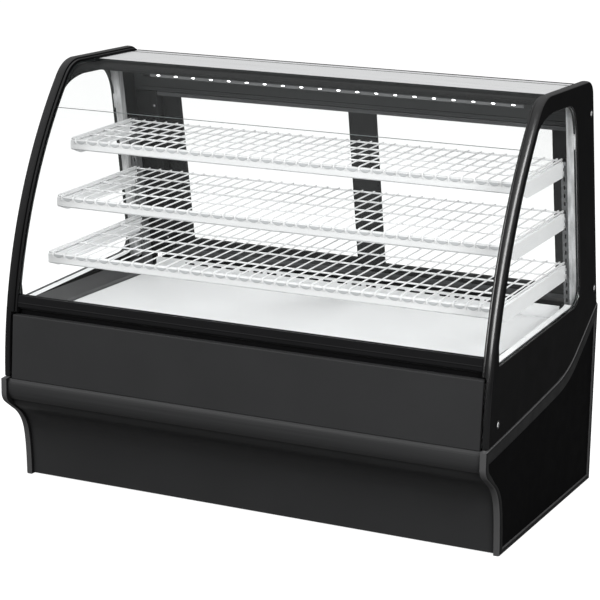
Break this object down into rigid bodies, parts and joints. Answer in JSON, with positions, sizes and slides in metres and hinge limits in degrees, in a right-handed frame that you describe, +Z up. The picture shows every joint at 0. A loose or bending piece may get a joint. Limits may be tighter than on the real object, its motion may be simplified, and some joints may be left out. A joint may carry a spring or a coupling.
{
  "type": "refrigerated display case",
  "caption": "Curved-glass refrigerated bakery display case with wire shelves, tilting front glass, sliding rear doors and a condensing unit in its closed base.",
  "frame": {"origin": "on the floor under the middle of the case", "axes": "+X to the right end seen by the customer, -Y towards the customer, +Z up"},
  "size_m": [1.505, 0.893, 1.219],
  "materials": {
    "black_enamel": "satin black powder coat",
    "black_plastic": "fine-grained black moulding",
    "charcoal_enamel": "satin charcoal powder coat",
    "inset_black": "matt black laminate face",
    "white_enamel": "white powder coat",
    "white_wire": "white epoxy coated wire",
    "anodised_silver": "satin anodised",
    "brushed_top": "brushed along the length",
    "galvanised": "galvanised sheet",
    "clear_glass": "tempered clear",
    "coil_copper": "copper tube with bare fins",
    "light_lens": "opal diffuser over white LEDs",
    "glide_rubber": "matt"
  },
  "bodies": {
    "case": {"base_end_panel_left": "inset_black", "base_end_panel_right": "inset_black", "base_pan": "black_enamel", "base_trim_left": "charcoal_enamel", "base_trim_right": "charcoal_enamel", "compressor": "black_enamel", "condensate_pan": "white_enamel", "condenser_coil": "coil_copper", "condenser_fan_shroud": "black_enamel", "control_box": "galvanised", "deck_panel": "white_enamel", "end_glass_left": "clear_glass", "end_glass_right": "clear_glass", "evaporator_coil": "galvanised", "evaporator_fan_plate": "galvanised", "fixed_glass": "clear_glass", "floor_skid_left": "glide_rubber", "floor_skid_right": "glide_rubber", "front_panel": "charcoal_enamel", "front_sill": "black_enamel", "insulated_tub": "white_enamel", "kick_panel": "charcoal_enamel", "light_canopy": "black_enamel", "light_strip": "light_lens", "lower_door_track": "anodised_silver", "lower_front_band": "charcoal_enamel", "lower_shelf_bracket_left": "white_enamel", "lower_shelf_bracket_right": "white_enamel", "lower_wire_shelf": "white_wire", "middle_shelf_bracket_left": "white_enamel", "middle_shelf_bracket_right": "white_enamel", "middle_wire_shelf": "white_wire", "rear_air_grille": "white_enamel", "rear_body_panel": "black_enamel", "rear_grille": "black_enamel", "rear_header": "charcoal_enamel", "rear_post_left": "black_enamel", "rear_post_right": "black_enamel", "shelf_upright_left": "anodised_silver", "shelf_upright_right": "anodised_silver", "side_sill_left": "charcoal_enamel", "side_sill_right": "charcoal_enamel", "top_panel": "brushed_top", "upper_door_track": "anodised_silver", "upper_end_frame_left": "black_plastic", "upper_end_frame_right": "black_plastic", "upper_shelf_bracket_left": "white_enamel", "upper_shelf_bracket_right": "white_enamel", "upper_wire_shelf": "white_wire"},
    "front_glass": {"tilting_glass": "clear_glass", "glass_rail": "black_enamel"},
    "left_door": {"rear_door_left": "black_enamel", "door_glass_left": "clear_glass"},
    "right_door": {"rear_door_right": "black_enamel", "door_glass_right": "clear_glass"},
    "left_evaporator_fan": {"evaporator_fan_left": "black_plastic"},
    "right_evaporator_fan": {"evaporator_fan_right": "black_plastic"},
    "condenser_fan_wheel": {"condenser_fan": "galvanised"},
    "knob": {"thermostat_knob": "black_plastic"},
    "rocker": {"light_switch": "black_plastic"}
  },
  "joints": [
    {"name": "front_glass_tilt", "type": "hinge", "parent": "case", "child": "front_glass", "pos_m": [0, -0.399, 0.531], "axis": [1, 0, 0], "range_deg": [0, 30]},
    {"name": "left_door_slide", "type": "slide", "parent": "case", "child": "left_door", "axis": [1, 0, 0], "range_m": [0, 0.63]},
    {"name": "right_door_slide", "type": "slide", "parent": "case", "child": "right_door", "axis": [1, 0, 0], "range_m": [-0.63, 0]},
    {"name": "left_evaporator_fan_spin", "type": "hinge", "parent": "case", "child": "left_evaporator_fan", "pos_m": [-0.42, 0.024, 0.378], "axis": [0, 1, 0], "continuous": true},
    {"name": "right_evaporator_fan_spin", "type": "hinge", "parent": "case", "child": "right_evaporator_fan", "pos_m": [-0.04, 0.024, 0.378], "axis": [0, 1, 0], "continuous": true},
    {"name": "condenser_fan_spin", "type": "hinge", "parent": "case", "child": "condenser_fan_wheel", "pos_m": [-0.06, 0.268, 0.128], "axis": [0, 1, 0], "continuous": true},
    {"name": "thermostat_turn", "type": "hinge", "parent": "case", "child": "knob", "pos_m": [-0.53, 0.4425, 0.18], "axis": [0, 1, 0], "range_deg": [-150, 150]},
    {"name": "light_switch_rock", "type": "hinge", "parent": "case", "child": "rocker", "pos_m": [-0.58, 0.4415, 0.18], "axis": [1, 0, 0], "range_deg": [-8, 8]}
  ]
}
